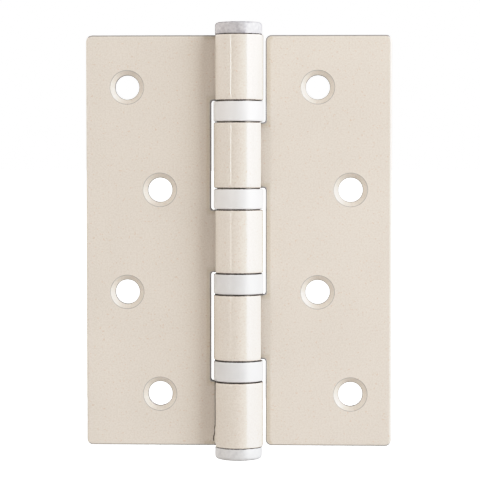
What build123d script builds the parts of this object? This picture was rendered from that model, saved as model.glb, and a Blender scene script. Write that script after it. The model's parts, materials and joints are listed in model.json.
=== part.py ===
from build123d import *
import math
import os

# Ball bearing butt hinge, laid open flat with its pin upright.
# The origin is the middle of the pin. Z runs up the pin and X across the open leaves.
# The countersunk faces look towards -Y, and the backs, which lie on door and frame, towards +Y.

# Leaves
LEAF_HEIGHT = 100.0
OPEN_WIDTH = 74.4
LEAF_THICKNESS = 2.5
CLOSED_GAP = 1.5  # between the two leaves when the hinge is shut
BEND_RADIUS = 3.0  # inside radius of the bend that leads from the leaf into the curl
CURL_STOP_ANGLE = 28.0  # the curl ends this far short of the leaf's own side
CORNER_RADIUS = 0.9
NOTCH_CORNER_RADIUS = 0.55
NOTCH_CLEARANCE = 0.6  # between a leaf's notch and the widest ring that turns in it
EDGE_RADIUS = 0.42

# Screw holes
SCREW_ROWS = 4
SCREW_HOLE_DIAMETER = 5.8
COUNTERSINK_DIAMETER = 8.2
COUNTERSINK_ANGLE = 90.0
SCREW_END_DISTANCE = 12.65  # from the leaf's end to the first row
SCREW_SIDE_DISTANCE = 10.0  # from the leaf's long edge to the outer column
SCREW_STAGGER = 8.0  # from the outer column to the inner one

# Barrel
KNUCKLES = 5
MIDDLE_SHORTENING = 0.6  # the middle knuckle is this much shorter than the others
PIN_DIAMETER = 7.0
PIN_CLEARANCE = 0.05  # between pin and knuckle bore, all round
PIN_GRIP_LENGTH = 6.0  # swelled neck under the head that holds the pin in its knuckle
PIN_CHAMFER = 0.6
CAP_HEIGHT = 3.0
CAP_SETBACK = 0.3  # the button caps are this much inside the barrel's outline
CAP_TOP_RADIUS = 0.9
CAP_FOOT_RADIUS = 0.25
PLUG_STEM_LENGTH = 8.0
PIN_TO_PLUG_GAP = 0.5

# Bearings
BEARING_HEIGHT = 5.24
RACE_CLEARANCE = 0.1  # between pin and race bore, all round
RACE_WIDTH = 2.05
RACE_RUNNING_GAP = 0.08  # between the turning race and the shell
SHELL_WALL = 0.45
SHELL_LIP = 0.4  # how far the shell's edges turn in over the races
SHELL_END_GAP = 0.15  # between the shell's ends and the knuckles
SHELL_EDGE_RADIUS = 0.45
BALL_COUNT = 8
BALL_DIAMETER = 1.5
BALL_CLEARANCE = 0.04
CAGE_THICKNESS = 0.6
CAGE_SIDE_GAP = 0.15
CAGE_WEB = 0.2  # between pocket and cage bore
CAGE_RIM = 0.5  # how far the cage reaches outside the circle of ball centres
POCKET_CLEARANCE = 0.05

# Worked out from the sizes above
PIN_RADIUS = PIN_DIAMETER / 2
BORE_RADIUS = PIN_RADIUS + PIN_CLEARANCE
BARREL_RADIUS = BORE_RADIUS + LEAF_THICKNESS
RACE_BORE_RADIUS = PIN_RADIUS + RACE_CLEARANCE
SHELL_BORE_RADIUS = RACE_BORE_RADIUS + RACE_WIDTH
SHELL_RADIUS = SHELL_BORE_RADIUS + SHELL_WALL
BALL_RADIUS = BALL_DIAMETER / 2
BALL_PITCH_RADIUS = RACE_BORE_RADIUS + RACE_WIDTH / 2
LEAF_FRONT = CLOSED_GAP / 2
LEAF_BACK = LEAF_FRONT + LEAF_THICKNESS
LEAF_EDGE = OPEN_WIDTH / 2
NOTCH_EDGE = max(SHELL_RADIUS, BARREL_RADIUS) + NOTCH_CLEARANCE
BARREL_TOP = LEAF_HEIGHT / 2
BARREL_FOOT = -LEAF_HEIGHT / 2
CAP_RADIUS = BARREL_RADIUS - CAP_SETBACK
BEARINGS = KNUCKLES - 1
KNUCKLE_HEIGHT = (LEAF_HEIGHT - BEARINGS * BEARING_HEIGHT + MIDDLE_SHORTENING) / KNUCKLES


def barrel_bands():
    """Heights of the knuckles and bearings, each as (foot, top), from the top of the barrel down."""
    knuckles = []
    bearings = []
    top = BARREL_TOP
    for index in range(KNUCKLES):
        shortening = MIDDLE_SHORTENING if index == KNUCKLES // 2 else 0.0
        foot = top - KNUCKLE_HEIGHT + shortening
        knuckles.append((foot, top))
        bearings.append((foot - BEARING_HEIGHT, foot))
        top = foot - BEARING_HEIGHT
    return knuckles, bearings[:BEARINGS]


def leaf_section():
    """Section of the right leaf: flat sheet, offset bend, and a curl round the pin with a rounded end."""
    bend_y = LEAF_BACK + BEND_RADIUS
    bend_x = math.sqrt((BARREL_RADIUS + BEND_RADIUS) ** 2 - bend_y ** 2)
    curl_start = math.degrees(math.atan2(bend_y, bend_x))
    curl_end = 360.0 - CURL_STOP_ANGLE
    tip_x = (BORE_RADIUS + LEAF_THICKNESS / 2) * math.cos(math.radians(curl_end))
    tip_y = (BORE_RADIUS + LEAF_THICKNESS / 2) * math.sin(math.radians(curl_end))
    with BuildSketch() as section:
        with BuildLine():
            Line((bend_x, LEAF_FRONT), (LEAF_EDGE, LEAF_FRONT))
            Line((LEAF_EDGE, LEAF_FRONT), (LEAF_EDGE, LEAF_BACK))
            Line((LEAF_EDGE, LEAF_BACK), (bend_x, LEAF_BACK))
            CenterArc((bend_x, bend_y), BEND_RADIUS, 270, curl_start - 90)
            CenterArc((bend_x, bend_y), BEND_RADIUS + LEAF_THICKNESS, 270, curl_start - 90)
            CenterArc((0, 0), BORE_RADIUS, curl_start, curl_end - curl_start)
            CenterArc((0, 0), BARREL_RADIUS, curl_start, curl_end - curl_start)
            CenterArc((tip_x, tip_y), LEAF_THICKNESS / 2, curl_end, 180)
        make_face()
    return section.sketch


def notch(foot, top, open_foot, open_top):
    """Cutter that clears the curl from one band of the barrel, with rounded corners on the leaf's side."""
    reach = BARREL_RADIUS + CORNER_RADIUS + LEAF_THICKNESS
    low = foot - reach if open_foot else foot
    high = top + reach if open_top else top
    width = NOTCH_EDGE + reach
    cutter = Pos(NOTCH_EDGE - width / 2, 0, (low + high) / 2) * Box(width, 2 * reach, high - low)
    corners = cutter.edges().filter_by(Axis.Y).group_by(Axis.X)[-1]
    return fillet(corners, NOTCH_CORNER_RADIUS)


def screw_places(outer_first):
    """Hole centres (x, z) on the right leaf, from the top row down, in two staggered columns."""
    outer = LEAF_EDGE - SCREW_SIDE_DISTANCE
    columns = (outer, outer - SCREW_STAGGER) if outer_first else (outer - SCREW_STAGGER, outer)
    top_row = BARREL_TOP - SCREW_END_DISTANCE
    pitch = 2 * top_row / (SCREW_ROWS - 1)
    return [(columns[row % 2], top_row - row * pitch) for row in range(SCREW_ROWS)]


def screw_hole(x, z):
    """Cutter for one screw hole, with its countersink on the front face."""
    hole = Cylinder(SCREW_HOLE_DIAMETER / 2, LEAF_THICKNESS)
    depth = (COUNTERSINK_DIAMETER - SCREW_HOLE_DIAMETER) / 2 / math.tan(math.radians(COUNTERSINK_ANGLE / 2))
    sink = Cone(SCREW_HOLE_DIAMETER / 2, COUNTERSINK_DIAMETER / 2, depth)
    cutter = hole + Pos(0, 0, (LEAF_THICKNESS - depth) / 2) * sink
    return Pos(x, (LEAF_FRONT + LEAF_BACK) / 2, z) * Rot(90, 0, 0) * cutter


def is_sheet_edge(edge):
    """True for the edges that go round the stamped blank, and false where two faces run on smoothly."""
    along = edge % 0.5
    if abs(along.Y) > 0.999:
        return False
    if abs(along.Z) < 0.999:
        return True
    return min(abs(edge.center().X - LEAF_EDGE), abs(edge.center().X - NOTCH_EDGE)) < EDGE_RADIUS / 10


def leaf(knuckles, outer_first):
    """The right-hand leaf with a curl at each of the given bands."""
    sheet = extrude(leaf_section(), LEAF_HEIGHT / 2, both=True)
    tops = [foot for foot, top in knuckles]
    feet = [top for foot, top in knuckles]
    tops = [BARREL_TOP] + tops
    feet = feet + [BARREL_FOOT]
    for place, (foot, top) in enumerate(zip(feet, tops)):
        if top - foot > EDGE_RADIUS:
            sheet -= notch(foot, top, place == len(feet) - 1, place == 0)
    through = sheet.edges().filter_by(Axis.Y).group_by(Axis.Z)
    sheet = fillet(through[0] + through[-1], CORNER_RADIUS)
    sheet = fillet(sheet.edges().filter_by(is_sheet_edge), EDGE_RADIUS)
    for x, z in screw_places(outer_first):
        sheet -= screw_hole(x, z)
    return sheet


def ring(profile):
    """Turns a profile of (radius, height) points round the pin."""
    return revolve(Plane.XZ * make_face(Polyline(*profile, close=True)), Axis.Z)


def button_cap():
    """Flat button with a rounded rim, its seat at height 0."""
    cap = Pos(0, 0, CAP_HEIGHT / 2) * Cylinder(CAP_RADIUS, CAP_HEIGHT)
    rims = cap.edges().filter_by(GeomType.CIRCLE).sort_by(Axis.Z)
    cap = fillet(rims[-1], CAP_TOP_RADIUS)
    return fillet(cap.edges().filter_by(GeomType.CIRCLE).sort_by(Axis.Z)[0], CAP_FOOT_RADIUS)


def shank(radius, foot, top):
    """Round bar between two heights, chamfered at its foot."""
    bar = Pos(0, 0, (foot + top) / 2) * Cylinder(radius, top - foot)
    return chamfer(bar.edges().filter_by(GeomType.CIRCLE).sort_by(Axis.Z)[0], PIN_CHAMFER)


def hinge_pin():
    """Pin with its button head and the swelled neck that grips the top knuckle."""
    foot = BARREL_FOOT + PLUG_STEM_LENGTH + PIN_TO_PLUG_GAP
    head = Pos(0, 0, BARREL_TOP) * button_cap()
    return head + shank(PIN_RADIUS, foot, BARREL_TOP) + shank(BORE_RADIUS, BARREL_TOP - PIN_GRIP_LENGTH, BARREL_TOP)


def bottom_plug():
    """Button like the pin's head, with a stem that fits the bore of the lowest knuckle."""
    head = button_cap()
    stem = shank(BORE_RADIUS, -PLUG_STEM_LENGTH, 0)
    return Pos(0, 0, BARREL_FOOT) * Rot(180, 0, 0) * (head + stem)


def bearing_shell(foot):
    """Thin band with both edges turned in over the races."""
    low = SHELL_END_GAP
    high = BEARING_HEIGHT - SHELL_END_GAP
    lip = SHELL_BORE_RADIUS - SHELL_LIP
    band = ring([
        (lip, low),
        (SHELL_RADIUS, low),
        (SHELL_RADIUS, high),
        (lip, high),
        (lip, high - SHELL_WALL),
        (SHELL_BORE_RADIUS, high - SHELL_WALL),
        (SHELL_BORE_RADIUS, low + SHELL_WALL),
        (lip, low + SHELL_WALL),
    ])
    rims = band.edges().filter_by(GeomType.CIRCLE).group_by(lambda edge: edge.radius)[-1]
    return Pos(0, 0, foot) * fillet(rims, SHELL_EDGE_RADIUS)


def race(rim_gap, lip_gap):
    """Stepped washer on height 0, with a ball groove in its upper face.

    Its boss goes through the shell's opening and its flange lies inside the shell.
    """
    face = BEARING_HEIGHT / 2 - CAGE_THICKNESS / 2 - CAGE_SIDE_GAP
    step = SHELL_END_GAP + SHELL_WALL + lip_gap
    boss = SHELL_BORE_RADIUS - SHELL_LIP - RACE_RUNNING_GAP
    flange = SHELL_BORE_RADIUS - rim_gap
    washer = ring([
        (RACE_BORE_RADIUS, 0),
        (boss, 0),
        (boss, step),
        (flange, step),
        (flange, face),
        (RACE_BORE_RADIUS, face),
    ])
    groove = Torus(BALL_PITCH_RADIUS, BALL_RADIUS + BALL_CLEARANCE)
    return washer - Pos(0, 0, BEARING_HEIGHT / 2) * groove


def lower_race(foot):
    """Race that is seated in the shell and lies on the knuckle below."""
    return Pos(0, 0, foot) * race(0.0, 0.0)


def upper_race(foot):
    """Race that turns in the shell and lies against the knuckle above."""
    return Pos(0, 0, foot + BEARING_HEIGHT) * Rot(180, 0, 0) * race(RACE_RUNNING_GAP, RACE_RUNNING_GAP)


def ball_places(foot):
    """One place for each ball of a bearing."""
    return [
        Pos(0, 0, foot + BEARING_HEIGHT / 2) * Rot(0, 0, index * 360 / BALL_COUNT) * Pos(BALL_PITCH_RADIUS, 0, 0)
        for index in range(BALL_COUNT)
    ]


def cage(foot):
    """Flat ring with a pocket for each ball, open at the rim so that the balls snap in."""
    pocket_radius = BALL_RADIUS + POCKET_CLEARANCE
    middle = foot + BEARING_HEIGHT / 2
    plate = Pos(0, 0, middle) * Cylinder(BALL_PITCH_RADIUS + CAGE_RIM, CAGE_THICKNESS)
    plate -= Pos(0, 0, middle) * Cylinder(BALL_PITCH_RADIUS - pocket_radius - CAGE_WEB, CAGE_THICKNESS)
    return plate - [place * Cylinder(pocket_radius, CAGE_THICKNESS) for place in ball_places(foot)]


def balls(foot):
    """The balls of one bearing, as separate solids."""
    return Compound([place * Solid.make_sphere(BALL_RADIUS) for place in ball_places(foot)])


def main():
    """Builds each piece and writes it to its own file."""
    knuckles, bearings = barrel_bands()
    pieces = {
        "left_leaf": mirror(leaf(knuckles[0::2], True), Plane.YZ),
        "right_leaf": leaf(knuckles[1::2], False),
        "hinge_pin": hinge_pin(),
        "bottom_plug": bottom_plug(),
    }
    for number, (foot, top) in enumerate(bearings, start=1):
        pieces[f"bearing_{number}_shell"] = bearing_shell(foot)
        pieces[f"bearing_{number}_upper_race"] = upper_race(foot)
        pieces[f"bearing_{number}_lower_race"] = lower_race(foot)
        pieces[f"bearing_{number}_cage"] = cage(foot)
        pieces[f"bearing_{number}_balls"] = balls(foot)
    os.makedirs("parts", exist_ok=True)
    for name, piece in pieces.items():
        export_step(piece, f"parts/{name}.step")


main()
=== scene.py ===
import json
import logging
import math
from dataclasses import dataclass, replace
from enum import Enum
from typing import Sequence

import bmesh
import bpy
import numpy as np
from mathutils import Matrix, Vector


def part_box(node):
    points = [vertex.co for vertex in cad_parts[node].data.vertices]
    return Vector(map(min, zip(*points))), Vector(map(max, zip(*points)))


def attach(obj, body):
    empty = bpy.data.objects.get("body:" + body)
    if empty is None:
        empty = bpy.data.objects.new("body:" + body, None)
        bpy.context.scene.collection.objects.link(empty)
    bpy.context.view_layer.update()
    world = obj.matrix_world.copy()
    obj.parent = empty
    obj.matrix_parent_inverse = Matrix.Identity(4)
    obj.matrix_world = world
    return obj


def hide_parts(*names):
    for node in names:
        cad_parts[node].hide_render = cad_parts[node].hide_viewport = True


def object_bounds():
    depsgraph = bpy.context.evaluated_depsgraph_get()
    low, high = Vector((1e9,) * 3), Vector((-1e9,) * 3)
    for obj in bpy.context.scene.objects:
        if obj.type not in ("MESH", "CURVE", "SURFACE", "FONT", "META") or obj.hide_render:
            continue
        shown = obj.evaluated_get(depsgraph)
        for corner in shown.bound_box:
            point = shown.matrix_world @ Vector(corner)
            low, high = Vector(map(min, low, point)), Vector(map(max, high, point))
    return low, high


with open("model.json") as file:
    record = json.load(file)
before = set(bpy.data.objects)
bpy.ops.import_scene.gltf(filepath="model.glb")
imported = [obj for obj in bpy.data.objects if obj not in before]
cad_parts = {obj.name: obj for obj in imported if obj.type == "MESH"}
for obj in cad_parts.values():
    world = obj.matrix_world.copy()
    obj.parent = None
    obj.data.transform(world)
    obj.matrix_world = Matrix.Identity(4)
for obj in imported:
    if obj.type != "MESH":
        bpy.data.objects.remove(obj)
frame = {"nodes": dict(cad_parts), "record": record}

# Ball bearing butt hinge, open flat. Sizes are in millimetres until a mesh is made, in metres.
# Z runs up the pin, X across the leaves, and the countersunk faces look towards -Y.

CAD_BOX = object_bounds()
MM = 0.001
MERGE_DISTANCE = 2e-7  # metres: points closer than this are one point
LINE_DIGITS = 6  # decimals of a millimetre to which grid lines are told apart
ROUND_OFF = 1e-6  # millimetres that rounding may add to a length
LINE_SLACK = 1e-4  # millimetres by which a grid line may miss the place where it is looked for
TINY = 1e-9  # keeps a division from failing at nought
WHITE = (1.0, 1.0, 1.0)
MIDDLE_NOISE = (0.3, 0.7)  # where nearly all values of a noise pattern lie
MIX_FIRST, MIX_SECOND, MIX_RESULT = 6, 7, 2  # numbers of a Mix node's colour sockets
ALL_COLOURS = 3  # number of the picture curve that holds for all colours
log = logging.getLogger("hinge")

Colour = tuple[float, float, float]
Place = tuple[float, float, float]
Stop = tuple[float, float, float]
Band = tuple[float, float]
Array = np.ndarray
Material = bpy.types.Material
Socket = bpy.types.NodeSocket
Inputs = dict[str | int, Socket | float | Colour]


class Side(Enum):
    """Which way a leaf lies from the pin."""

    LEFT = -1
    RIGHT = 1


class Slot(Enum):
    """The part's own names for its finishes."""

    LACQUER = "lacquered_steel"
    PLATE = "plated_steel"


def node_box(node: str) -> tuple[Array, Array]:
    """Lowest and highest corner of a solid, in millimetres."""
    low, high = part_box(node)
    return np.array(low) / MM, np.array(high) / MM


def body_of(node: str) -> str:
    """Name of the moving body that carries a solid."""
    bodies = frame["record"]["behaviour"]["bodies"]
    return next(body for body, nodes in bodies.items() if node in nodes)


def grid_lines(marks: Sequence[float], step: float) -> Array:
    """Grid lines through every mark, evenly spaced between marks and at most one step apart.

    Args:
        marks: Values that need a line of their own, in any order.
        step: The widest spacing.

    Returns:
        The lines in rising order.
    """
    marks = np.unique(np.round(marks, LINE_DIGITS))
    spans = [np.linspace(a, b, math.ceil((b - a) / step) + 1)[:-1] for a, b in zip(marks[:-1], marks[1:])]
    return np.concatenate([*spans, marks[-1:]])


def edge_rows(width: float, steps: int) -> Array:
    """Distances from an edge of the rows that make it round over one width."""
    return width * (1 - np.cos(np.linspace(0.0, math.pi / 2, steps + 1)))


def ring_faces(numbers: Array) -> Array:
    """Four-cornered faces between closed rows of points, given the points' numbers row by row."""
    after = np.roll(numbers, -1, axis=1)
    return np.stack([numbers[:-1], after[:-1], after[1:], numbers[1:]], axis=-1).reshape(-1, 4)


def both_sides(faces: Array, count: int) -> Array:
    """Closes a sheet: its face, the same turned over for the back, and one strip across each free edge.

    An edge is free if no face runs along it the other way.

    Args:
        faces: Point numbers of the face, four to a row.
        count: How many points the face has. The back's points follow them in the same order.

    Returns:
        All faces of the closed sheet.
    """
    edges = np.concatenate([faces[:, [corner, (corner + 1) % 4]] for corner in range(4)])
    free = edges[~np.isin(edges @ [count, 1], edges @ [1, count])]
    rim = np.column_stack([free[:, 1], free[:, 0], free[:, 0] + count, free[:, 1] + count])
    return np.vstack([faces, faces[:, ::-1] + count, rim])


def unit(rows: Array) -> Array:
    """Each row divided by its length."""
    return rows / np.linalg.norm(rows, axis=1, keepdims=True)


def rounded_loop(corners: Sequence[tuple[float, float, float]], steps: int = 7) -> Array:
    """Closed outline with arcs for corners.

    Each arc touches both sides of its corner: its centre lies on the corner's bisector at the radius divided by
    the sine of half the angle, and its points turn evenly from one touching point to the other.

    Args:
        corners: One (x, y, radius) for each corner, in order.
        steps: Straight pieces in each arc.

    Returns:
        Points of the outline, one row each.
    """
    table = np.array(corners, float)
    tip, radius = table[:, :2], table[:, 2:]
    back, ahead = (unit(np.roll(tip, step, axis=0) - tip) for step in (1, -1))
    angle = np.arccos(np.clip(np.sum(back * ahead, axis=1, keepdims=True), -1.0, 1.0))
    centre = tip + unit(back + ahead) * radius / np.sin(angle / 2)
    start = tip + back * radius / np.tan(angle / 2) - centre
    end = tip + ahead * radius / np.tan(angle / 2) - centre
    turn = (math.pi - angle)[:, None, :]
    share = np.linspace(0.0, 1.0, steps + 1)[None, :, None]
    arc = np.sin((1 - share) * turn) * start[:, None, :] + np.sin(share * turn) * end[:, None, :]
    return (centre[:, None, :] + arc / np.sin(turn)).reshape(-1, 2)


def put(name: str, data: bpy.types.ID) -> bpy.types.Object:
    """Adds an object to the scene, at the origin."""
    bpy.context.scene.collection.objects.link(item := bpy.data.objects.new(name, data))
    return item


def make_piece(node: str, kind: str, slot: Slot, finish: Material, points: Array, faces: Array, **marks: Array) -> None:
    """Makes a closed smooth mesh from whole arrays, in the place of a solid and on the same body.

    Args:
        node: The solid that the piece stands for.
        kind: What the piece's name adds to the solid's.
        slot: The part's name for the finish; not used.
        finish: The material.
        points: Places in millimetres, one row each.
        faces: Point numbers, four to a row.
        marks: Values for each point, kept as attributes that the finishes read.
    """
    name = f"{node}_{kind}"
    used, numbers = np.unique(faces, return_inverse=True)
    mesh = bpy.data.meshes.new(name)
    mesh.from_pydata(points[used] * MM, [], numbers.reshape(-1, 4).tolist())
    for mark, values in marks.items():
        mesh.attributes.new(mark, "FLOAT", "POINT").data.foreach_set("value", values[used].astype(np.float32))
    form = bmesh.new()
    form.from_mesh(mesh)
    bmesh.ops.remove_doubles(form, verts=form.verts, dist=MERGE_DISTANCE)
    bmesh.ops.recalc_face_normals(form, faces=form.faces)
    form.to_mesh(mesh)
    form.free()
    mesh.polygons.foreach_set("use_smooth", np.ones(len(mesh.polygons), bool))
    piece = put(name, mesh)
    piece.modifiers.new("even_normals", "WEIGHTED_NORMAL").keep_sharp = False
    mesh.materials.append(finish)
    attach(piece, body_of(node))
    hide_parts(node)
    log.info("made %s: %d points, %d faces", name, len(mesh.vertices), len(mesh.polygons))


class NodeSheet:
    """Builds one node tree, with short calls for the nodes that finishes and surroundings share."""

    def __init__(self, tree: bpy.types.NodeTree) -> None:
        """Starts on an empty tree."""
        self.tree = tree
        self.tree.nodes.clear()

    def add(self, kind: str, inputs: Inputs | None = None, **settings: str) -> bpy.types.Node:
        """Adds a node.

        Args:
            kind: The node's type.
            inputs: For each input, by name or number, the output to link it to, or its value or colour.
            settings: Options of the node, by name.

        Returns:
            The new node.
        """
        node = self.tree.nodes.new(kind)
        for name, value in settings.items():
            setattr(node, name, value)
        for name, value in (inputs or {}).items():
            if isinstance(value, Socket):
                self.tree.links.new(value, node.inputs[name])
            else:
                node.inputs[name].default_value = (*value, 1.0) if isinstance(value, tuple) else value
        return node

    def math(self, operation: str, first: Socket, second: Socket | float) -> Socket:
        """Result of an operation on two values, by the operation's name."""
        return self.add("ShaderNodeMath", {0: first, 1: second}, operation=operation).outputs["Value"]

    def scale(self, colour: Socket, share: Socket) -> Socket:
        """A colour, made brighter or darker by a value."""
        return self.add("ShaderNodeVectorMath", {"Vector": colour, "Scale": share}, operation="SCALE").outputs["Vector"]

    def span(self, value: Socket, old: Band, new: Band = (0.0, 1.0)) -> Socket:
        """A value, held inside its old range and mapped to a new one."""
        limits = {"From Min": old[0], "From Max": old[1], "To Min": new[0], "To Max": new[1]}
        return self.add("ShaderNodeMapRange", {"Value": value, **limits}).outputs["Result"]

    def ramp(self, value: Socket, stops: Sequence[tuple[float, Colour]]) -> Socket:
        """Colours a pattern.

        Args:
            value: The pattern.
            stops: Pairs of a value from 0 to 1 and its colour, lowest first.

        Returns:
            The colour.
        """
        node = self.add("ShaderNodeValToRGB", {"Fac": value})
        elements = node.color_ramp.elements
        while len(elements) < len(stops):
            elements.new(1.0)
        for element, (position, colour) in zip(elements, stops):
            element.position = position
            element.color = (*colour, 1.0)
        return node.outputs["Color"]


class FinishSheet(NodeSheet):
    """Node tree of one material."""

    def __init__(self, name: str) -> None:
        """Starts a material.

        Args:
            name: The material's name.
        """
        self.material = bpy.data.materials.new(name)
        self.material.use_nodes = True
        super().__init__(self.material.node_tree)
        self.place = self.add("ShaderNodeTexCoord").outputs["Object"]

    def finish(self, inputs: Inputs) -> Material:
        """Ends the material.

        Args:
            inputs: What the shader gets, as for add.

        Returns:
            The material.
        """
        shader = self.add("ShaderNodeBsdfPrincipled", inputs)
        self.add("ShaderNodeOutputMaterial", {"Surface": shader.outputs["BSDF"]})
        return self.material

    def noise(self, per_metre: float, detail: float = 2.0) -> Socket:
        """Smooth random values around 0.5 on the piece's own coordinates, with so many finer layers."""
        inputs = {"Vector": self.place, "Scale": per_metre, "Detail": detail}
        return self.add("ShaderNodeTexNoise", inputs).outputs["Fac"]

    def mark(self, name: str) -> Socket:
        """Value of one of the mesh's own attributes."""
        return self.add("ShaderNodeAttribute", attribute_name=name).outputs["Fac"]

    def grease(self, per_metre: float, ragged: float) -> Socket:
        """Painted joint shade attribute, about 0 away from the joints and 1 in a joint, to which a noise adds or takes
        its share.
        """
        scaled = self.span(self.noise(per_metre), MIDDLE_NOISE, (1.0 - ragged, 1.0 + ragged))
        return self.math("MULTIPLY", self.mark("grease"), scaled)

    def blend(self, value: Socket, over: Band, low: Colour, high: Colour) -> Socket:
        """Colour that goes from low to high over a range of a pattern."""
        return self.ramp(value, list(zip(over, (low, high))))

    def multiply(self, base: Socket, layer: Socket) -> Socket:
        """One colour darkened by another."""
        inputs = {"Factor": 1.0, MIX_FIRST: base, MIX_SECOND: layer}
        return self.add("ShaderNodeMix", inputs, data_type="RGBA", blend_type="MULTIPLY").outputs[MIX_RESULT]

    def bump(self, height: Socket, depth: float, strength: float) -> Socket:
        """Shading normal raised by a pattern, with the full pattern's depth in millimetres."""
        inputs = {"Height": height, "Distance": depth * MM, "Strength": strength}
        return self.add("ShaderNodeBump", inputs).outputs["Normal"]


@dataclass(frozen=True)
class PearlLacquer:
    """Pale beige lacquer with a fine pearl grain under a glossy clear coat, with painted shade along edges, beside the
    notches and at the barrel's joints.
    """

    name: str = "pearl_lacquer"
    light: Colour = (0.90, 0.837, 0.760)
    dark: Colour = (0.835, 0.766, 0.687)
    cloud: Colour = (0.97, 0.97, 0.97)
    speck: Colour = (0.94, 0.86, 0.81)
    # painted shade from here down: beside the notches, along edges, on the cuts and in the joints, where the coat is
    # duller too
    shade: Colour = (0.885, 0.862, 0.805)
    edge: Colour = (0.60, 0.63, 0.70)
    cut_shade: Colour = (0.13, 0.12, 0.11)
    grease: Colour = (0.05, 0.035, 0.025)
    greased_coat: Colour = (0.1, 0.1, 0.1)
    thin_stops: tuple[float, ...] = (0.1, 0.22, 0.45, 0.9)  # painted shade at which the colour shows none, the notches' shade, edge shade and the darkest cut shade
    grains_per_metre: float = 2600.0
    grain_range: Band = (0.32, 0.62)
    clouds_per_metre: float = 55.0
    cloud_range: Band = (0.35, 0.65)
    specks_per_metre: float = 2200.0
    speck_range: Band = (0.74, 0.8)
    grease_waves: float = 2500.0
    grease_ragged: float = 0.3
    grease_range: Band = (0.3, 0.6)
    ripples_per_metre: float = 650.0
    ripple_depth: float = 0.01
    ripple_strength: float = 0.15
    roughness: float = 0.42
    coat_roughness: float = 0.05
    coat_ior: float = 1.7

    def material(self) -> Material:
        """Builds the material.

        Returns:
            Grain, clouds and sparse specks in the colour, painted shade along edges and in the joints, a ripple in the
            coat.
        """
        sheet = FinishSheet(self.name)
        grain = sheet.blend(sheet.noise(self.grains_per_metre, detail=1.0), self.grain_range, self.dark, self.light)
        clouds = sheet.blend(sheet.noise(self.clouds_per_metre), self.cloud_range, self.cloud, WHITE)
        specks = sheet.blend(sheet.noise(self.specks_per_metre, detail=0.0), self.speck_range, WHITE, self.speck)
        tones = (WHITE, self.shade, self.edge, self.cut_shade)
        thin = sheet.ramp(sheet.mark("thin"), list(zip(self.thin_stops, tones)))
        grease = sheet.grease(self.grease_waves, self.grease_ragged)
        shaded = sheet.multiply(thin, sheet.blend(grease, self.grease_range, WHITE, self.grease))
        ripple = sheet.bump(sheet.noise(self.ripples_per_metre, detail=1.0), self.ripple_depth, self.ripple_strength)
        return sheet.finish({
            "Base Color": sheet.multiply(sheet.multiply(grain, clouds), sheet.multiply(specks, shaded)),
            "Roughness": self.roughness,
            "Coat Weight": sheet.blend(grease, self.grease_range, WHITE, self.greased_coat),
            "Coat Roughness": self.coat_roughness,
            "Coat IOR": self.coat_ior,
            "Normal": ripple,
            "Coat Normal": ripple,
        })


@dataclass(frozen=True)
class SatinPlate:
    """Plated steel with a satin sheen, dull where the press has left it so."""

    name: str = "satin_plate"
    light: Colour = (0.93, 0.935, 0.945)
    dark: Colour = (0.89, 0.895, 0.905)
    # painted shade at the joints, where the gap beside the knuckle is in shadow
    grease: Colour = (0.05, 0.035, 0.025)
    metallic: float = 0.1
    roughness: Band = (0.30, 0.42)
    clouds_per_metre: float = 300.0
    cloud_detail: float = 3.0
    grains_per_metre: float = 1800.0
    grain_depth: float = 0.01
    grain_strength: float = 0.1
    grease_waves: float = 2500.0
    grease_ragged: float = 0.3
    grease_range: Band = (0.3, 0.7)

    def material(self) -> Material:
        """Builds the material.

        Returns:
            Soft clouds in colour and gloss, with a fine grain, and painted shade at the joints.
        """
        sheet = FinishSheet(self.name)
        clouds = sheet.noise(self.clouds_per_metre, self.cloud_detail)
        grease = sheet.grease(self.grease_waves, self.grease_ragged)
        greased = sheet.blend(grease, self.grease_range, WHITE, self.grease)
        gloss = sheet.span(clouds, MIDDLE_NOISE, self.roughness)
        grain = sheet.noise(self.grains_per_metre, detail=1.0)
        return sheet.finish({
            "Base Color": sheet.multiply(sheet.blend(clouds, MIDDLE_NOISE, self.dark, self.light), greased),
            "Roughness": sheet.math("ADD", gloss, sheet.mark("dull")),
            "Metallic": self.metallic,
            "Normal": sheet.bump(grain, self.grain_depth, self.grain_strength),
        })


@dataclass(frozen=True)
class CagePlastic:
    """Moulded nylon of the ball cages."""

    name: str = "cage_plastic"
    light: Colour = (0.80, 0.78, 0.70)
    dark: Colour = (0.74, 0.72, 0.64)
    roughness: float = 0.55
    flow_per_metre: float = 500.0

    def material(self) -> Material:
        """Builds the material.

        Returns:
            Faint flow marks in a dull surface.
        """
        sheet = FinishSheet(self.name)
        flow = sheet.blend(sheet.noise(self.flow_per_metre), MIDDLE_NOISE, self.dark, self.light)
        return sheet.finish({"Base Color": flow, "Roughness": self.roughness})


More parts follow.
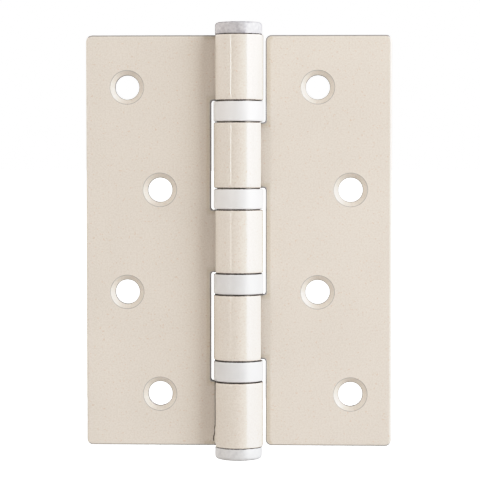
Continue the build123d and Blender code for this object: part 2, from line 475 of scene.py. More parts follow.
@dataclass(frozen=True)
class SheetSection:
    """Section of a leaf across the pin: flat sheet, offset bend, and curl round the pin.

    A place in the sheet is given by its way along the sheet's middle line, from the leaf's long edge, and by its
    depth under the countersunk face.
    """

    edge: float
    front: float = 0.75
    thickness: float = 2.5
    bend_radius: float = 3.0
    bore_radius: float = 3.55
    stop_angle: float = math.radians(28.0)

    @property
    def bend_centre(self) -> tuple[float, float]:
        """Centre of the bend, whose inside circle touches the barrel."""
        y = self.front + self.thickness + self.bend_radius
        return math.sqrt((self.bore_radius + self.thickness + self.bend_radius) ** 2 - y ** 2), y

    @property
    def curl_start(self) -> float:
        """Angle round the pin at which the bend ends and the curl begins."""
        x, y = self.bend_centre
        return math.atan2(y, x)

    @property
    def flat_length(self) -> float:
        """Way along the sheet to the start of the bend."""
        return self.edge - self.bend_centre[0]

    @property
    def bend_length(self) -> float:
        """Way along the sheet to the start of the curl."""
        return self.flat_length + (self.bend_radius + self.thickness / 2) * (math.pi / 2 - self.curl_start)

    @property
    def length(self) -> float:
        """Way along the sheet to the end of the curl's round tip."""
        sweep = 2 * math.pi - self.stop_angle - self.curl_start
        return self.bend_length + (self.bore_radius + self.thickness / 2) * sweep + self.thickness / 2

    def place(self, way: Array, depth: Array) -> tuple[Array, Array]:
        """Rolls the flat sheet up.

        In the flat, x is the edge less the way and y is the front plus the depth. In the bend the sheet turns
        about the bend's centre, with the face on the outside. In the curl it turns about the pin, with the face
        on the bore.

        Args:
            way: Way along the middle line.
            depth: Depth under the face.

        Returns:
            The points' x and y.
        """
        centre_x, centre_y = self.bend_centre
        bend = (way - self.flat_length) / (self.bend_radius + self.thickness / 2)
        curl = self.curl_start + (way - self.bend_length) / (self.bore_radius + self.thickness / 2)
        bend_radius = self.bend_radius + self.thickness - depth
        curl_radius = self.bore_radius + depth
        zones = [way <= self.flat_length, way <= self.bend_length]
        x = np.select(zones, [self.edge - way, centre_x - bend_radius * np.sin(bend)], curl_radius * np.cos(curl))
        y = np.select(zones, [self.front + depth, centre_y - bend_radius * np.cos(bend)], curl_radius * np.sin(curl))
        return x, y


@dataclass(frozen=True)
class ScrewHole:
    """Countersunk hole as rings between a square patch of the sheet and the bore."""

    bore: float = 2.9
    sink: float = 4.1
    rim_rounding: float = 0.3
    throat_rounding: float = 0.15
    throat_line: float = 0.22
    back_rounding: float = 0.25
    back_flat: Band = (1.5, 0.2)  # how far out from the rounding the flat rings of the back begin and end
    back_share: float = 0.3  # how round the outermost ring of the back is, and of the front
    front_share: float = 0.5
    # painted shade in the middle of the rim and round the bore
    rim_thin: float = 0.6
    bore_thin: float = 0.6
    patch: float = 6.0
    steps: int = 7

    def front_rings(self) -> Array:
        """Rings of the countersunk side.

        The flat turns by 45 degrees into the cone on a rounded rim, and the cone by 45 degrees more into the bore.
        Shade is painted in the middle of the rim, and in the throat from a ring on the cone close above it.

        Returns:
            Rows of (share of a true circle, radius, depth, thinness of the lacquer), from the patch inwards.
        """
        rim = np.linspace(0.0, math.pi / 4, self.steps)
        throat = np.linspace(math.pi / 4, math.pi / 2, self.steps)
        lead = math.tan(math.pi / 8)
        rim_radius = self.sink + self.rim_rounding * (lead - np.sin(rim))
        rim_depth = self.rim_rounding * (1 - np.cos(rim))
        throat_radius = self.bore + self.throat_rounding * (1 - np.sin(throat))
        throat_depth = self.sink - self.bore + self.throat_rounding * (lead - np.cos(throat))
        cone_radius, cone_depth = throat_radius[:1] + self.throat_line, throat_depth[:1] - self.throat_line
        flat = np.zeros(2)
        radius = np.concatenate([flat + rim_radius[0] + self.rim_rounding, rim_radius, cone_radius, throat_radius])
        depth = np.concatenate([flat, rim_depth, cone_depth, throat_depth])
        share = np.ones(len(radius))
        share[0] = self.front_share
        thin = [flat, self.rim_thin * np.sin(4 * rim), [0.0], np.full(self.steps, self.bore_thin)]
        return np.column_stack([share, radius, depth, np.concatenate(thin)])

    def back_rings(self, thickness: float) -> Array:
        """Rings of the back, as many as on the front: flat, then a quarter round into the bore.

        Args:
            thickness: The sheet's thickness.

        Returns:
            Rows as for the front.
        """
        turn = np.linspace(0.0, math.pi / 2, self.steps)
        radius = self.bore + self.back_rounding * (1 - np.sin(turn))
        depth = thickness - self.back_rounding * (1 - np.cos(turn))
        flat = len(self.front_rings()) - self.steps
        share = np.append(np.linspace(self.back_share, 1.0, flat), np.ones(self.steps))
        radius = np.append(np.linspace(*(radius[0] + np.array(self.back_flat)), flat), radius)
        depth = np.append(np.full(flat, thickness), depth)
        thin = np.append(np.zeros(flat), self.bore_thin * np.sin(turn))
        return np.column_stack([share, radius, depth, thin])

    def ring_points(self, rings: Array, place: tuple[float, float], border: Array) -> Array:
        """Points of all rings, each on the ray from the hole's centre to a point of the patch's border.

        Args:
            rings: Rows of (share of a true circle, radius, depth, painted shade).
            place: The hole's centre on the sheet.
            border: The patch's border points on the sheet, one row each.

        Returns:
            Rows of (way, height, depth, painted shade), ring by ring.
        """
        arm = border - np.array(place)
        reach = np.linalg.norm(arm, axis=1)
        share, radius, depth, thin = (column[:, None] for column in rings.T)
        length = (1 - share) * reach + share * radius
        way = place[0] + length * arm[:, 0] / reach
        height = place[1] + length * arm[:, 1] / reach
        return np.stack([way, height, depth + 0 * way, thin + 0 * way], axis=-1).reshape(-1, 4)


@dataclass(frozen=True)
class PlanCorner:
    """Rounded corner of the stamped blank, given by its arc's centre and the way from there to the corner."""

    centre: tuple[float, float]
    towards: tuple[int, int]
    radius: float
    reach: float = 3.0  # in radii: how far from the centre the sheet still gives way

    def apply(self, way: Array, height: Array) -> tuple[Array, Array]:
        """Turns the squares of the grid about the arc's centre into circles, and less so further out.

        A point on a square of half side m, at the share q of the half side, goes to the circle of radius m, at the
        share q of 45 degrees.

        Args:
            way: Way along the sheet.
            height: Height.

        Returns:
            The moved points' way and height.
        """
        a = (way - self.centre[0]) * self.towards[0] / self.radius
        b = (height - self.centre[1]) * self.towards[1] / self.radius
        side = np.maximum(np.maximum(a, b), TINY)
        turn = math.pi / 4 * np.minimum(a, b) / side
        wide, narrow = side * np.cos(turn), side * np.sin(turn)
        weight = np.clip((self.reach - side) / (self.reach - 1.0), 0.0, 1.0) * ((a >= 0) & (b >= 0))
        moved_a = a + weight * (np.where(a >= b, wide, narrow) - a)
        moved_b = b + weight * (np.where(a >= b, narrow, wide) - b)
        return (self.centre[0] + moved_a * self.radius * self.towards[0],
                self.centre[1] + moved_b * self.radius * self.towards[1])


@dataclass(frozen=True)
class LacquerRun:
    """Bead of lacquer that has run out past the curl's tip, at one height."""

    height: float
    half_height: float
    reach: float


@dataclass(frozen=True)
class Leaf:
    """One leaf: a stamped sheet rolled round the pin, with countersunk holes, lacquered all over."""

    node: str
    side: Side
    knuckles: tuple[Band, ...]
    outer_first: bool
    runs: tuple[LacquerRun, ...] = ()
    notch_edge: float = 6.7
    notch_radius: float = 0.55
    corner_radius: float = 1.5
    corner_lines: int = 4
    edge_radius: float = 0.42
    edge_steps: int = 5
    roll_width: float = 0.78  # how far in the punch has rolled the plate's outer edges over
    roll_fade: float = 2.0  # way over which the roll grows to that width, away from the notches
    roll_start: float = 0.5  # in such ways: where it begins to grow
    tip_steps: int = 9
    screw_end: float = 12.65
    screw_side: float = 10.0
    screw_stagger: float = 8.0
    screw_rows: int = 4
    flat_step: float = 0.8
    curl_step: float = 0.25
    outline_width: float = 0.01  # points closer to the outline than this are on it
    # painted shade: in the joints at the curls' ends, along the flat's outline, on the cuts and beside the notches
    grease_width: float = 0.28
    thin_width: float = 0.46
    edge_thin: float = 0.62
    cut_thin: float = 0.9
    notch_thin: float = 0.22
    notch_shade_width: float = 1.8
    # seam: knuckle band where a shadow line is painted in the crack beside the curl's tip
    seam: Band | None = None
    seam_band: Band = (0.2, 1.0)  # way past the start of the bend that has closer lines for the seam
    seam_lines: int = 17
    seam_place: float = 0.66
    seam_width: float = 0.12
    seam_shift: float = 0.14  # way by which the seam's line gives way to a run, for each length of the run
    ripple: float = 0.07
    ripple_quick: float = 2.9
    ripple_slow: float = 1.07
    ripple_phase: float = 0.6
    run_root: float = 3.0
    hole: ScrewHole = ScrewHole()

    @property
    def section(self) -> SheetSection:
        """The sheet's section, out to the leaf's long edge in the frame."""
        low, high = node_box(self.node)
        return SheetSection(edge=max(-low[0], high[0]))

    @property
    def half_height(self) -> float:
        """Half of the leaf's height in the frame."""
        return node_box(self.node)[1][2]

    @property
    def notch(self) -> float:
        """Way along the sheet to the edge of the notches."""
        return self.section.edge - self.notch_edge

    def hole_places(self) -> list[tuple[float, float]]:
        """Places of the screw holes, in two staggered columns.

        Returns:
            Centres as (way, height), from the top row down.
        """
        columns = [self.screw_side, self.screw_side + self.screw_stagger]
        if not self.outer_first:
            columns.reverse()
        top = self.half_height - self.screw_end
        rows = np.linspace(top, -top, self.screw_rows)
        return [(columns[row % 2], height) for row, height in enumerate(rows)]

    def way_lines(self) -> Array:
        """Grid lines along the sheet, closer together in the curl and its tip.

        Returns:
            The lines in rising order.
        """
        section, rows, notch = self.section, edge_rows(self.edge_radius, self.edge_steps), self.notch
        fine = np.linspace(0.0, 1.0, self.corner_lines)
        flat = [*edge_rows(self.roll_width, self.edge_steps), *(self.corner_radius * fine)]
        flat += [way + side * self.hole.patch for way, _ in self.hole_places() for side in (-1, 1)]
        flat += [*(notch - rows), notch - self.corner_radius, notch]
        tip = edge_rows(section.thickness / 2, self.tip_steps)
        curl = [*(notch + self.notch_radius * fine), section.flat_length, section.bend_length, *(section.length - tip)]
        if self.seam:
            curl += [*(section.flat_length + np.linspace(*self.seam_band, self.seam_lines))]
        lines = np.concatenate([grid_lines(flat, self.flat_step), grid_lines(curl, self.curl_step)])
        return np.unique(lines.round(LINE_DIGITS))

    def height_lines(self) -> Array:
        """Grid lines up the sheet, with rows for the rounded edges at its ends and at each knuckle's ends.

        Returns:
            The lines in rising order.
        """
        half = self.half_height
        rows, rolled = (edge_rows(width, self.edge_steps) for width in (self.edge_radius, self.roll_width))
        ends = [*rows, *rolled, self.corner_radius / 2, self.corner_radius]
        marks = [side * (half - row) for side in (-1, 1) for row in ends]
        marks += [height + side * self.hole.patch for _, height in self.hole_places() for side in (-1, 1)]
        notch = self.notch_radius * np.linspace(0.0, 1.0, self.corner_lines)
        for foot, top in self.knuckles:
            marks += [*(foot + rows), *(top - rows), *(foot - notch), *(top + notch)]
        marks = np.array(marks)
        return grid_lines(marks[np.abs(marks) <= half + ROUND_OFF], self.flat_step)

    def inside(self, way: Array, height: Array) -> Array:
        """Distance of each point from the blank's outline, with square corners.

        In the plate, up to the notches, and in each knuckle's strip, it is the least of the distances to the
        sides. The greatest of these counts.

        Args:
            way: Way along the sheet.
            height: Height.

        Returns:
            The distances, 0 outside the blank.
        """
        plate = np.minimum.reduce([way, self.notch - way, self.half_height - np.abs(height)])
        strips = [np.minimum.reduce([way, height - foot, top - height]) for foot, top in self.knuckles]
        return np.clip(np.maximum.reduce([plate, *strips]), 0.0, None)

    def face_depth(self, way: Array, inside: Array) -> Array:
        """Depth of the face under its plane.

        The edge is a quarter of an ellipse, as deep as the edge radius, and as wide at the notches and curls, but
        wider on the plate. At the tip the half thickness shrinks as a half circle does.

        Args:
            way: Way along the sheet.
            inside: Distance from the outline.

        Returns:
            The depths.
        """
        half = self.section.thickness / 2
        rolled = np.clip((self.notch - way) / self.roll_fade - self.roll_start, 0.0, 1.0)
        width = self.edge_radius + rolled * (self.roll_width - self.edge_radius)
        roll = self.edge_radius * (1 - np.sqrt(1 - (1 - np.minimum(inside / width, 1.0)) ** 2))
        short = np.clip(1 - (self.section.length - way) / half, 0.0, 1.0)
        return half - np.sqrt(1 - short ** 2) * (half - roll)

    def corners(self) -> list[PlanCorner]:
        """Rounded corners of the blank.

        Returns:
            Its free corners, and the inner corners of its notches.
        """
        half, notch, radius, inner = self.half_height, self.notch, self.corner_radius, self.notch_radius
        ends = [edge for band in self.knuckles for edge in band]
        free = [side for side in (-1, 1) if all(abs(side * half - edge) >= radius for edge in ends)]
        found = [PlanCorner((radius, side * (half - radius)), (-1, side), radius) for side in (-1, 1)]
        found += [PlanCorner((notch - radius, side * (half - radius)), (1, side), radius) for side in free]
        for foot, top in self.knuckles:
            found += [PlanCorner((notch + inner, edge + side * inner), (-1, -side), inner)
                      for edge, side in ((foot, -1), (top, 1)) if abs(edge) < half - radius]
        return found

    def bells(self, height: Array) -> Array:
        """How far the lacquer has run at each height: each run is a flat-topped bell, over a slow ripple."""
        waves = self.ripple * np.sin(self.ripple_quick * height) * np.sin(self.ripple_slow * height + self.ripple_phase)
        return waves + sum(run.reach * np.exp(-((height - run.height) / run.half_height) ** 4) for run in self.runs)

    def run_out(self, way: Array, height: Array) -> Array:
        """Way by which the lacquer has run out, which fades from the tip back with the square of the way."""
        return self.bells(height) * np.clip(1 + (way - self.section.length) / self.run_root, 0.0, 1.0) ** 2

    def painted_shading(self, way: Array, height: Array, inside: Array) -> tuple[Array, Array]:
        """Painted shade along edges and painted shade at joints, from 0 to 1.

        Shade is painted along the flat's outline, other than its long edge, on the cuts at the notches, and a little
        in a band beside them. Each line is even up to half its width and fades from there. Joint shade is painted at
        the curls' ends, and as a bell-shaped shadow line in the crack beside one knuckle's tip.

        Args:
            way: Way along the sheet.
            height: Height.
            inside: Distance from the outline.

        Returns:
            Edge shade and joint shade of each point.
        """
        section = self.section
        curled = way > section.bend_length
        cut = self.cut_thin * (way > self.notch - self.edge_radius)
        line = self.edge_thin * np.clip(2 - 2 * inside / self.thin_width, 0.0, 1.0)
        band = self.notch_thin * np.clip(2 - 2 * inside / self.notch_shade_width, 0.0, 1.0)
        band *= way > self.notch - self.notch_shade_width
        thin = np.maximum(np.where(inside < self.outline_width, cut, line), band)
        thin *= ~curled & (way > inside)
        grease = np.clip(1 - inside / self.grease_width, 0.0, 1.0) * curled
        # painted shadow line in the crack beside the tip, bent round the lacquer runs
        if self.seam:
            place = section.flat_length + self.seam_place - self.seam_shift * self.bells(height)
            line = np.exp(-((way - place) / self.seam_width) ** 2)
            grease = np.maximum(grease, line * (height > self.seam[0]) * (height < self.seam[1]))
        return thin, grease

    def kept_cells(self, ways: Array, heights: Array) -> Array:
        """Which cells between the grid lines along and up the sheet belong to the plate or to a knuckle."""
        way, height = ((lines[:-1] + lines[1:]) / 2 for lines in (ways, heights))
        return (way[:, None] < self.notch) | np.any([(height > a) & (height < b) for a, b in self.knuckles], axis=0)

    def build(self, finish: Material) -> None:
        """Makes the leaf in the place of its solid.

        Face and back are the same grid over the blank, with a patch of rings at each hole, joined at free edges.

        Args:
            finish: The leaf's lacquer.
        """
        section, hole = self.section, self.hole
        ways, heights = self.way_lines(), self.height_lines()
        way, height = np.meshgrid(ways, heights, indexing="ij")
        inside = self.inside(way, height)
        depth = self.face_depth(way, inside).ravel()
        thin, grease = (mark.ravel() for mark in self.painted_shading(way, height, inside))
        numbers = np.arange(way.size).reshape(way.shape)
        kept = self.kept_cells(ways, heights)
        way = way + self.run_out(way, height)
        for corner in self.corners():
            way, height = corner.apply(way, height)
        flat = np.column_stack([way.ravel(), height.ravel()])
        face = [np.column_stack([flat, depth, thin])]
        back = [np.column_stack([flat, section.thickness - depth, thin])]
        face_rings, back_rings = hole.front_rings(), hole.back_rings(section.thickness)
        count, joins = way.size, []
        for place in self.hole_places():
            reach = [side * hole.patch - LINE_SLACK for side in (-1, 1)]
            low, high = (np.searchsorted(ways, place[0] + side) for side in reach)
            foot, top = (np.searchsorted(heights, place[1] + side) for side in reach)
            kept[low:high, foot:top] = False
            border = np.concatenate([numbers[low:high, foot], numbers[high, foot:top],
                                     numbers[high:low:-1, top], numbers[low, top:foot:-1]])
            face.append(hole.ring_points(face_rings, place, flat[border]))
            back.append(hole.ring_points(back_rings, place, flat[border]))
            rings = count + np.arange(len(face[-1])).reshape(len(face_rings), -1)
            joins.append(ring_faces(np.vstack([border, rings])))
            count += len(face[-1])
        cells = np.stack([numbers[:-1, :-1], numbers[1:, :-1], numbers[1:, 1:], numbers[:-1, 1:]], axis=-1)[kept]
        faces = both_sides(np.vstack([cells, *joins]), count)
        way, height, depth, thin = np.vstack([*face, *back]).T
        x, y = section.place(way, depth)
        points = np.column_stack([self.side.value * x, y, height])
        grease = np.tile(np.append(grease, np.zeros(count - grease.size)), 2)
        make_piece(self.node, "sheet", Slot.LACQUER, finish, points, faces, thin=thin, grease=grease)


@dataclass(frozen=True)
class TurnedPiece:
    """Round piece on the pin's axis, made by turning a closed outline of (radius, height, rounding) corners."""

    node: str
    outline: tuple[tuple[float, float, float], ...]
    joints: tuple[float, ...]  # heights of the ends that sit on a knuckle, where shade is painted
    ends: tuple[float, ...] = ()  # heights of the faces that the press has left dull
    grease_width: float = 0.16
    dull_width: float = 0.2
    turns: int = 160

    def near(self, height: Array, places: Sequence[float], width: float) -> Array:
        """Mark for every point, from 1 at the height of one of the places to 0 at one width from it."""
        away = np.min([np.full(height.shape, width), *(np.abs(height - place) for place in places)], axis=0)
        return np.tile(1 - away / width, self.turns)

    def build(self, finish: Material) -> None:
        """Makes the piece in the place of its solid.

        At each angle lie all the outline's points, at their radius and height. Painted joint shade fades with the
        height from the nearest joint, and dullness with that from the nearest dull face.

        Args:
            finish: The piece's plating.
        """
        radius, height = rounded_loop(self.outline).T
        grease = self.near(height, self.joints, self.grease_width)
        dull = self.near(height, self.ends, self.dull_width)
        angle = np.linspace(0.0, 2 * math.pi, self.turns, endpoint=False)[:, None]
        x, y = radius * np.cos(angle), radius * np.sin(angle)
        points = np.stack([x, y, np.broadcast_to(height, x.shape)], axis=-1).reshape(-1, 3)
        numbers = np.arange(len(points)).reshape(x.shape)
        faces = ring_faces(np.vstack([numbers, numbers[:1]]))
        make_piece(self.node, "turned", Slot.PLATE, finish, points, faces, grease=grease, dull=dull)


@dataclass(frozen=True)
class Barrel:
    """What is turned on the pin: the pin with its head, the plug at the foot, and the bearings' shells."""

    bearings: int = 4
    shell_gap: float = 0.15
    shell_wall: float = 0.45
    shell_lip: float = 0.4
    shell_rounding: float = 0.44
    lip_rounding: float = 0.08
    pin_radius: float = 3.5
    bore_radius: float = 3.55
    grip_length: float = 6.0
    pin_chamfer: float = 0.6
    cap_height: float = 3.0
    cap_rounding: float = 0.9
    cap_foot_rounding: float = 0.25

    def knuckle_bands(self) -> list[Band]:
        """Heights of the knuckles, which the bearings part.

        Returns:
            Each as (foot, top), from the top down.
        """
        half = node_box("left_leaf")[1][2]
        boxes = [node_box(f"bearing_{number}_shell") for number in range(1, self.bearings + 1)]
        feet = [high[2] + self.shell_gap for _, high in boxes] + [-half]
        tops = [half] + [low[2] - self.shell_gap for low, _ in boxes]
        return list(zip(feet, tops))

    def shell(self, number: int) -> TurnedPiece:
        """Thin band with both edges turned in over the races.

        Args:
            number: The bearing's number, from the top.

        Returns:
            The shell.
        """
        node = f"bearing_{number}_shell"
        low, high = node_box(node)
        outer, foot, top = high[:2].min(), low[2], high[2]
        bore = outer - self.shell_wall
        lip, wall, soft = bore - self.shell_lip, self.shell_wall, self.lip_rounding
        outline = (
            (lip, foot, soft), (outer, foot, self.shell_rounding), (outer, top, self.shell_rounding), (lip, top, soft),
            (lip, top - wall, soft), (bore, top - wall, soft), (bore, foot + wall, soft), (lip, foot + wall, soft))
        return TurnedPiece(node, outline, joints=(foot, top))

    def pin(self) -> TurnedPiece:
        """Pin with a button head, a swelled neck that grips its knuckle, and a chamfered foot.

        Returns:
            The pin.
        """
        low, high = node_box("hinge_pin")
        cap, foot, top = high[:2].min(), low[2], high[2]
        seat = top - self.cap_height
        neck = seat - self.grip_length
        swell = self.bore_radius - self.pin_radius
        outline = (
            (0.0, top, 0.0), (cap, top, self.cap_rounding), (cap, seat, self.cap_foot_rounding),
            (self.bore_radius, seat, swell), (self.bore_radius, neck + swell, swell / 2),
            (self.pin_radius, neck, swell / 2), (self.pin_radius, foot + self.pin_chamfer, swell),
            (self.pin_radius - self.pin_chamfer, foot, swell), (0.0, foot, 0.0))
        return TurnedPiece("hinge_pin", outline, joints=(seat,), ends=(top,))

    def plug(self) -> TurnedPiece:
        """Button at the foot with a chamfered stem in the lowest knuckle.

        Returns:
            The plug.
        """
        low, high = node_box("bottom_plug")
        cap, foot, top = high[:2].min(), low[2], high[2]
        seat, stem, soft = foot + self.cap_height, self.bore_radius, self.lip_rounding
        outline = (
            (0.0, foot, 0.0), (cap, foot, self.cap_rounding), (cap, seat, self.cap_foot_rounding), (stem, seat, soft),
            (stem, top - self.pin_chamfer, soft), (stem - self.pin_chamfer, top, soft), (0.0, top, 0.0))
        return TurnedPiece("bottom_plug", outline, joints=(seat,), ends=(foot,))

    def build(self, shells: Sequence[Material], head: Material, foot: Material) -> None:
        """Makes the pin, the plug and the shells.

        Args:
            shells: The shells' finishes, from the top down.
            head: The pin's finish.
            foot: The plug's finish.
        """
        self.pin().build(head)
        self.plug().build(foot)
        for number, finish in enumerate(shells, 1):
            self.shell(number).build(finish)


@dataclass(frozen=True)
class PhotoCamera:
    """Camera where the photograph was taken from, found from points measured in its picture."""

    place: Place = (19.9 * MM, -498.4 * MM, 19.8 * MM)
    yaw: float = -0.0392
    pitch: float = -0.0391
    focal_pixels: float = 2055.0
    picture_pixels: float = 480.0
    sensor: float = 36.0
    clip_start: float = 0.01

    def build(self) -> None:
        """Makes the camera."""
        data = bpy.data.cameras.new("photo_camera")
        data.sensor_width = self.sensor
        data.lens = self.focal_pixels / self.picture_pixels * self.sensor
        data.clip_start = self.clip_start
        camera = put("photo_camera", data)
        turn = Matrix.Rotation(-self.yaw, 4, "Z") @ Matrix.Rotation(math.pi / 2 + self.pitch, 4, "X")
        camera.matrix_world = Matrix.Translation(Vector(self.place)) @ turn
        bpy.context.scene.camera = camera


@dataclass(frozen=True)
class Softbox:
    """Square lamp that faces the middle of the hinge and isn't mirrored in it."""

    name: str
    place: Place
    size: float
    radiance: float

    def build(self) -> None:
        """Makes the lamp."""
        data = bpy.data.lights.new(self.name, "AREA")
        data.size = self.size
        data.energy = self.radiance * math.pi * self.size ** 2
        lamp = put(self.name, data)
        facing = (-Vector(self.place)).to_track_quat("-Z", "Y").to_matrix().to_4x4()
        lamp.matrix_world = Matrix.Translation(self.place) @ facing
        lamp.visible_camera = False
        lamp.visible_glossy = False


@dataclass(frozen=True)
class LightTent:
    """White cloth all round the hinge, lit unevenly, with a pale floor below.

    Stops of the wall, and of a narrow strip of light in front of it, give the angle in degrees to the right of the
    camera, the brightness and the warmth. Above and below the wall the cloth is even, and dimmer behind the hinge.
    Heights are sines of the angle of rise.
    """

    wall: tuple[Stop, ...] = (
        (-180.0, 0.03, 0.0), (-147.0, 0.03, 0.0), (-138.0, 1.6, 0.05), (-122.0, 1.65, 0.05), (-100.0, 1.32, 0.06),
        (-60.0, 1.2, 0.06), (-35.0, 0.88, 0.06), (-31.0, 0.2, 0.25), (40.5, 0.2, 0.25), (42.5, 4.5, -0.02),
        (60.0, 4.5, -0.02), (74.0, 2.5, -0.02), (132.0, 2.5, -0.02), (147.0, 0.05, 0.0), (180.0, 0.03, 0.0))
    strip: tuple[Stop, ...] = ((-34.8, 0.0, 0.0), (-34.5, 13.0, 0.04), (-32.6, 13.0, 0.04), (-32.3, 0.0, 0.0))
    strip_foot: Band = (-0.11, 0.03)  # heights between which the strip fades in
    wall_rise: tuple[float, ...] = (-0.32, 0.05, 0.6, 0.92)  # heights between which the wall fades in and out
    ceiling: float = 0.12
    ground: float = 0.59
    horizon: Band = (0.04, 0.2)  # heights between which the ground goes over into the ceiling
    fill_warmth: float = 0.05
    behind: float = 0.5  # share of the ceiling's and the ground's light that is left behind the hinge
    behind_range: Band = (-0.3, 0.2)  # from how far in front to how far behind it gets less
    brightest: float = 13.0
    white: float = 1.35  # what shows as pure white
    shoulder: tuple[Band, ...] = (
        (0.0, 0.0), (0.35, 0.35), (0.70, 0.70), (0.85, 0.82), (1.0, 0.89), (1.1, 0.925), (1.2, 0.955), (1.35, 1.0))
    lamps: tuple[Softbox, ...] = (
        Softbox("back_lamp", (0.0, 0.9, 0.0), size=0.6, radiance=4.0),
        Softbox("upper_lamp", (0.2, -0.14, 0.1), size=0.15, radiance=2.0))
    floor_drop: float = 0.09
    floor_size: float = 60.0
    floor_tone: Colour = (0.9, 0.9, 0.9)
    floor_roughness: float = 0.9

    def tint(self, brightness: float, warmth: float) -> Colour:
        """Colour of the cloth as a share of the brightest, with red raised and blue lowered by the warmth."""
        share = brightness / self.brightest
        return share * (1 + warmth), share, share * (1 - warmth)

    def round_stops(self, stops: Sequence[Stop]) -> list[tuple[float, Colour]]:
        """Stops by degrees as stops of a ramp once round the hinge."""
        return [(0.5 + degrees / 360.0, self.tint(light, warmth)) for degrees, light, warmth in stops]

    def cloth(self) -> None:
        """Makes the surroundings: plain white to the camera, the uneven cloth to the hinge."""
        world = bpy.data.worlds.new("light_tent")
        bpy.context.scene.world = world
        world.use_nodes = True
        sheet = NodeSheet(world.node_tree)
        ray = sheet.add("ShaderNodeTexCoord").outputs["Generated"]
        way = sheet.add("ShaderNodeSeparateXYZ", {"Vector": ray}).outputs
        angle = sheet.math("ARCTAN2", way["X"], sheet.math("MULTIPLY", way["Y"], -1.0))
        turn, rise = sheet.span(angle, (-math.pi, math.pi)), sheet.span(way["Z"], (-1.0, 1.0))
        wall, strip = (sheet.ramp(turn, self.round_stops(stops)) for stops in (self.wall, self.strip))
        hung = sheet.scale(strip, sheet.span(way["Z"], self.strip_foot))
        fills = [self.tint(light, self.fill_warmth) for light in (self.ground, self.ceiling)]
        fill = sheet.ramp(rise, [(0.5 + height / 2, colour) for height, colour in zip(self.horizon, fills)])
        dimmed = sheet.scale(fill, sheet.span(way["Y"], self.behind_range, (1.0, self.behind)))
        shares = [(share,) * 3 for share in (1.0, 0.0, 0.0, 1.0)]
        cover = sheet.ramp(rise, [(0.5 + height / 2, share) for height, share in zip(self.wall_rise, shares)])
        inputs = {"Factor": cover, MIX_FIRST: wall, MIX_SECOND: dimmed}
        joined = sheet.add("ShaderNodeMix", inputs, data_type="RGBA").outputs[MIX_RESULT]
        total = sheet.add("ShaderNodeVectorMath", {0: joined, 1: hung}, operation="ADD").outputs["Vector"]
        cloth = sheet.add("ShaderNodeBackground", {"Color": total, "Strength": self.brightest}).outputs[0]
        white = sheet.add("ShaderNodeBackground", {"Color": WHITE, "Strength": self.white}).outputs[0]
        seen = sheet.add("ShaderNodeLightPath").outputs["Is Camera Ray"]
        mix = sheet.add("ShaderNodeMixShader", {"Fac": seen, 1: cloth, 2: white})
        sheet.add("ShaderNodeOutputWorld", {"Surface": mix.outputs["Shader"]})

    def floor(self) -> None:
        """Makes a pale floor below the hinge, which shows white and throws no light back."""
        half, level = self.floor_size / 2, CAD_BOX[0].z - self.floor_drop
        mesh = bpy.data.meshes.new("floor")
        corners = [(x * half, y * half, level) for x, y in ((-1, -1), (1, -1), (1, 1), (-1, 1))]
        mesh.from_pydata(corners, [], [(0, 1, 2, 3)])
        floor = put("floor", mesh)
        mesh.materials.append(FinishSheet("floor_paint").finish({
            "Base Color": self.floor_tone, "Roughness": self.floor_roughness,
            "Emission Color": WHITE, "Emission Strength": self.white}))
        floor.visible_diffuse = False
        floor.visible_glossy = False

    def develop(self) -> None:
        """Sets plain picture colours with a soft shoulder, so that the brightest lacquer keeps its tint."""
        settings = bpy.context.scene.view_settings
        settings.view_transform = "Standard"
        settings.use_curve_mapping = True
        settings.curve_mapping.white_level = (self.white,) * 3
        curve = settings.curve_mapping.curves[ALL_COLOURS]
        while len(curve.points) < len(self.shoulder):
            curve.points.new(0.5, 0.5)
        for point, (light, shown) in zip(curve.points, self.shoulder):
            point.location = (light / self.white, shown)
        settings.curve_mapping.update()

    def build(self) -> None:
        """Makes the surroundings, the floor and the lamps, and sets the picture's colours."""
        self.cloth()
        self.floor()
        for lamp in self.lamps:
            lamp.build()
        self.develop()


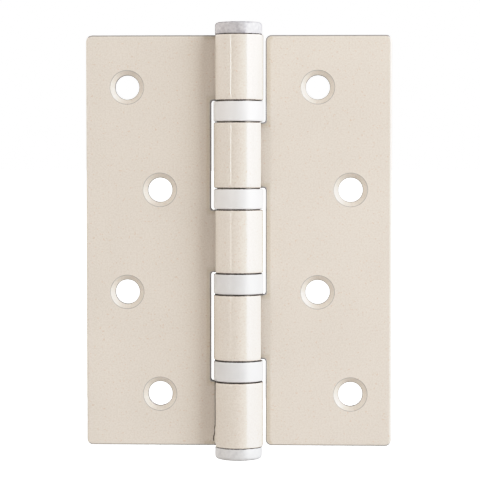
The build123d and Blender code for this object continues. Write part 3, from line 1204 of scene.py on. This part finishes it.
def dress(node: str, material: Material) -> None:
    """Gives a solid that stays in view its finish.

    Args:
        node: The solid's name.
        material: The finish.
    """
    mesh = frame["nodes"][node].data
    mesh.materials.clear()
    mesh.materials.append(material)
    log.info("dressed %s with %s", node, material.name)


def main() -> None:
    """Builds the hinge's pieces and finishes, the light tent and the camera."""
    logging.basicConfig(level=logging.INFO, format="%(name)s: %(message)s")
    lacquer = PearlLacquer().material()
    plate = SatinPlate()
    # a darker copy of the plate for the lower two shells: painted shade where the light falls off towards the foot
    lower_shade_plate = replace(plate, name="satin_plate_lower_shade", light=(0.86, 0.87, 0.885), dark=(0.81, 0.82, 0.835))
    head = SatinPlate("head_plate", (0.72, 0.717, 0.74), (0.49, 0.482, 0.52), metallic=0.2, roughness=(0.32, 0.46),
                      clouds_per_metre=1100.0, grain_depth=0.03, grease_waves=900.0, grease_ragged=0.75)
    foot = replace(head, name="foot_plate", light=(0.84, 0.85, 0.87), dark=(0.72, 0.73, 0.755))
    # dark races and balls: painted shade, so that the gaps beside the shells show dark
    shade_dark_steel = SatinPlate("bearing_steel", (0.30, 0.28, 0.26), (0.20, 0.18, 0.17), metallic=1.0,
                       roughness=(0.2, 0.3)).material()
    plastic = CagePlastic().material()
    barrel = Barrel()
    knuckles = barrel.knuckle_bands()
    runs = (LacquerRun(height=-48.0, half_height=1.0, reach=2.3), LacquerRun(height=-45.9, half_height=0.42, reach=1.3))
    Leaf("left_leaf", Side.LEFT, tuple(knuckles[0::2]), outer_first=True, runs=runs, seam=knuckles[-1]).build(lacquer)
    Leaf("right_leaf", Side.RIGHT, tuple(knuckles[1::2]), outer_first=False, notch_edge=6.5).build(lacquer)
    barrel.build([plate.material()] * 2 + [lower_shade_plate.material()] * 2, head.material(), foot.material())
    for number in range(1, barrel.bearings + 1):
        dress(f"bearing_{number}_cage", plastic)
        for inner in ("upper_race", "lower_race", "balls"):
            dress(f"bearing_{number}_{inner}", shade_dark_steel)
    LightTent().build()
    PhotoCamera().build()


if __name__ == "__main__":
    main()
